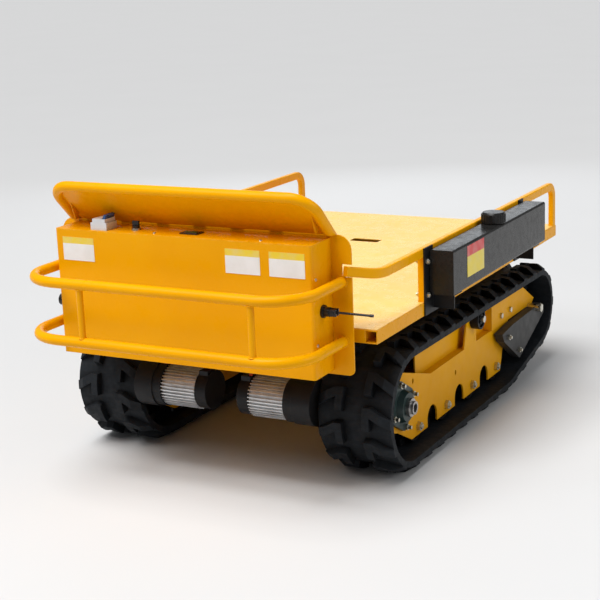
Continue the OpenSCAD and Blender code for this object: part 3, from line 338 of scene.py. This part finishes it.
def bead(bm, points, thick, closed):
    """A weld bead along points BEAD_STEP apart: round in section, swelling at each puddle."""
    rings = []
    count = len(points)
    for k, point in enumerate(points):
        ahead = points[(k + 1) % count] if closed or k < count - 1 else point
        behind = points[k - 1] if closed or k > 0 else point
        along = (ahead - behind).normalized()
        side = along.orthogonal().normalized()
        up = along.cross(side)
        swell = thick * (0.80 + 0.20 * abs(math.sin(k * math.pi / 4)))
        if not closed:
            swell *= min(1.0, 0.35 + 0.25 * min(k, count - 1 - k))
        rings.append([bm.verts.new(point + swell * (math.cos(a) * side + math.sin(a) * up))
                      for a in (2 * math.pi * j / BEAD_SIDES for j in range(BEAD_SIDES))])
    for k in range(count if closed else count - 1):
        first, second = rings[k], rings[(k + 1) % count]
        # start the next ring at its nearest point, so that the bead doesn't twist
        turn = min(range(BEAD_SIDES), key=lambda t: (second[t].co - first[0].co).length)
        for j in range(BEAD_SIDES):
            after = j + 1
            bm.faces.new((first[j], first[after % BEAD_SIDES],
                          second[(after + turn) % BEAD_SIDES], second[(j + turn) % BEAD_SIDES]))
    if not closed:
        bm.faces.new(rings[0])
        bm.faces.new(rings[-1])


def ring_points(center, axis, radius, step=BEAD_STEP):
    """Points round a circle about an axis."""
    side = axis.orthogonal().normalized()
    up = axis.cross(side).normalized()
    count = int(2 * math.pi * radius / step)
    return [center + radius * (math.cos(a) * side + math.sin(a) * up)
            for a in (2 * math.pi * k / count for k in range(count))]


def line_points(start, end, step=BEAD_STEP):
    """Points along a straight line."""
    count = max(2, int((end - start).length / step))
    return [start.lerp(end, k / count) for k in range(count + 1)]


TUBE_R = 0.016       # radius of the bumper's tubes
SPACER_R = 0.010     # and of the short uprights between them
TUBE_WELD = 0.0030   # thickness of each kind of weld
SPACER_WELD = 0.0024
HOOD_WELD = 0.0026
FOOT_WELD = 0.0022
SPACER_SHARES = (-0.52, 0.70)    # where the uprights stand, as shares of the half width

# the bumper is welded to the backplate, and its uprights to its tubes
bumper_low, bumper_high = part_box("bumper")
plate_low, plate_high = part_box("backplate")
middle_x = (bumper_low.x + bumper_high.x) / 2
side_run_x = (bumper_high.x - bumper_low.x) / 2 - TUBE_R
tube_heights = (bumper_low.z + TUBE_R, bumper_high.z - TUBE_R)

welds = bmesh.new()
for side in (-1, 1):
    for height in tube_heights:
        foot = Vector((middle_x + side * side_run_x, plate_low.y, height))
        bead(welds, ring_points(foot, Vector((0, 1, 0)), TUBE_R + 0.001), TUBE_WELD, True)
for share in SPACER_SHARES:
    x = middle_x + share * side_run_x
    for height, inward in ((tube_heights[0], 1), (tube_heights[1], -1)):
        foot = Vector((x, bumper_low.y + TUBE_R, height + inward * (TUBE_R - 0.002)))
        bead(welds, ring_points(foot, Vector((0, 0, 1)), SPACER_R + 0.001), SPACER_WELD, True)
mesh_piece("bumper_welds", welds, YELLOW)

# the hood's plate is welded along the backplate's top edge, in stitches
hood_low, hood_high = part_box("control_hood")
stitches = bmesh.new()
stitch, gap, margin = 0.045, 0.085, 0.05
x = hood_low.x + margin
while x + stitch < hood_high.x - margin:
    start = Vector((x, plate_low.y - 0.0005, plate_high.z + 0.0005))
    bead(stitches, line_points(start, start + Vector((stitch, 0, 0))), HOOD_WELD, False)
    x += stitch + gap
mesh_piece("hood_welds", stitches, YELLOW)

# posts and rail legs are welded to the deck plate along their inner side
deck_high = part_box("deck_plate")[1]


def feet(node, reach=0.05):
    """The lowest points of a node in groups, one for each foot it stands on."""
    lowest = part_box(node)[0].z
    groups = []
    for vertex in nodes[node].data.vertices:
        if vertex.co.z > lowest + 0.0005:
            continue
        home = next((g for g in groups if (g[0] - vertex.co).length < reach), None)
        if home is None:
            home = []
            groups.append(home)
        home.append(vertex.co.copy())
    return groups


foot_welds = bmesh.new()
for node in ("rail_posts", "left_rail", "right_rail"):
    for points in feet(node):
        xs, ys = [p.x for p in points], [p.y for p in points]
        inner = min(xs) if sum(xs) / len(xs) > middle_x else max(xs)
        corners = [Vector((inner, y, deck_high.z)) for y in (min(ys), max(ys))]
        bead(foot_welds, line_points(*corners), FOOT_WELD, False)
mesh_piece("post_welds", foot_welds, YELLOW)

# a glossy window over the charge gauge, with a row of lamps
gauge_low, gauge_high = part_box("battery_gauge")


CORNER_STEPS = 6    # steps in each quarter turn of a slab's corner


def rounded_slab(bm, low, high, corner, edge):
    """A flat slab with rounded corners and a softened upper edge."""
    rings = []
    for inset, height in ((0.0, low.z), (0.0, high.z - edge), (edge, high.z)):
        radius = corner - inset
        ring = []
        for sx, sy, start in ((1, 1, 0), (-1, 1, 90), (-1, -1, 180), (1, -1, 270)):
            cx = (high.x if sx > 0 else low.x) - sx * corner
            cy = (high.y if sy > 0 else low.y) - sy * corner
            for k in range(CORNER_STEPS + 1):
                a = math.radians(start + 90 * k / CORNER_STEPS)
                ring.append(bm.verts.new((cx + radius * math.cos(a), cy + radius * math.sin(a), height)))
        rings.append(ring)
    for lower, upper in zip(rings, rings[1:]):
        for k in range(len(lower)):
            bm.faces.new((lower[k - 1], lower[k], upper[k], upper[k - 1]))
    bm.faces.new(rings[0])
    bm.faces.new(rings[-1])


WINDOW_MARGIN = 0.006    # from the gauge's outline to the window's
WINDOW_SINK = 0.0004     # how far the window is let into the gauge
WINDOW_RISE = 0.0009     # and how far it stands proud of it
window_low = Vector((gauge_low.x + WINDOW_MARGIN, gauge_low.y + WINDOW_MARGIN, gauge_high.z - WINDOW_SINK))
window_high = Vector((gauge_high.x - WINDOW_MARGIN, gauge_high.y - WINDOW_MARGIN, gauge_high.z + WINDOW_RISE))
window = bmesh.new()
rounded_slab(window, window_low, window_high, 0.003, 0.0005)
mesh_piece("gauge_window", window, GLASS)

LAMP_COUNT = 5
LAMP_W, LAMP_D = 0.0052, 0.008    # each lamp across and along the gauge
LAMP_GAP = 0.0026
LAMP_INSET = 0.016                # from the gauge's front edge to the row
LAMP_FOOT, LAMP_TOP = 0.0007, 0.0014    # heights above the gauge
lamps = bmesh.new()
for k in range(LAMP_COUNT):
    x = (gauge_low.x + gauge_high.x) / 2 + (k - (LAMP_COUNT - 1) / 2) * (LAMP_W + LAMP_GAP) - LAMP_W / 2
    y = gauge_low.y + LAMP_INSET
    rounded_slab(lamps, Vector((x, y, gauge_high.z + LAMP_FOOT)),
                 Vector((x + LAMP_W, y + LAMP_D, gauge_high.z + LAMP_TOP)), 0.0012, 0.0003)
mesh_piece("gauge_lamps", lamps, LAMP)

# ---- floor and light ----

floor_material = Shader("floor")
floor_material.link(
    floor_material.mix(floor_material.noise(1.2), (0.63, 0.63, 0.63), (0.61, 0.61, 0.61)),
    floor_material.bsdf.inputs["Base Color"],
)
floor_material.set(Roughness=0.8)
floor_mesh = bpy.data.meshes.new("floor")
reach = 40    # half the floor's width, so that the camera never sees its end
corners = [(-reach, -reach, 0), (reach, -reach, 0), (reach, reach, 0), (-reach, reach, 0)]
floor_mesh.from_pydata(corners, [], [(0, 1, 2, 3)])
floor_mesh.materials.append(floor_material.material)
floor = bpy.data.objects.new("floor", floor_mesh)
floor.location.z = cad_low[2] - 0.001    # just below the tracks, so that the faces don't fight
bpy.context.collection.objects.link(floor)

# a dim sky lights the object, and the camera sees a white one behind it
world = bpy.data.worlds.new("world")
bpy.context.scene.world = world
world.use_nodes = True
sky = world.node_tree.nodes["Background"]
sky.inputs["Color"].default_value = (0.95, 0.97, 1.0, 1.0)
sky.inputs["Strength"].default_value = 0.20
backdrop = world.node_tree.nodes.new("ShaderNodeBackground")
backdrop.inputs["Color"].default_value = (1.0, 1.0, 1.0, 1.0)
backdrop.inputs["Strength"].default_value = 1.0
seen = world.node_tree.nodes.new("ShaderNodeLightPath")
choose = world.node_tree.nodes.new("ShaderNodeMixShader")
world.node_tree.links.new(seen.outputs["Is Camera Ray"], choose.inputs["Fac"])
world.node_tree.links.new(sky.outputs[0], choose.inputs[1])
world.node_tree.links.new(backdrop.outputs[0], choose.inputs[2])
world.node_tree.links.new(choose.outputs[0], world.node_tree.nodes["World Output"].inputs["Surface"])


def area_light(name, place, aim, size, power, color=(1.0, 1.0, 1.0)):
    """A soft rectangular lamp, which the camera doesn't see, aimed at a point."""
    data = bpy.data.lights.new(name, "AREA")
    data.shape = "RECTANGLE"
    data.size, data.size_y = size
    data.energy = power
    data.color = color
    lamp = bpy.data.objects.new(name, data)
    lamp.location = place
    lamp.visible_camera = False
    lamp.rotation_euler = (Vector(aim) - Vector(place)).to_track_quat("-Z", "Y").to_euler()
    bpy.context.collection.objects.link(lamp)


area_light("front_light", (-1.6, -3.4, 4.0), (0, -0.8, 0.5), (2.4, 1.6), 84)
area_light("back_light", (-2.3, 4.6, 1.9), (0, 0.4, 0.5), (3.6, 1.6), 20, (0.90, 0.95, 1.0))
area_light("side_light", (4.4, 0.2, 2.4), (0.3, 0.2, 0.3), (2.6, 2.0), 52)

sun_data = bpy.data.lights.new("sky_light", "SUN")
sun_data.energy = 3.1
sun_data.angle = math.radians(38)
sun = bpy.data.objects.new("sky_light", sun_data)
sun.rotation_euler = Euler([math.radians(a) for a in (14, -10, 0)], "XYZ")
bpy.context.collection.objects.link(sun)

bpy.context.scene.view_settings.view_transform = "Standard"
bpy.context.scene.view_settings.look = "None"
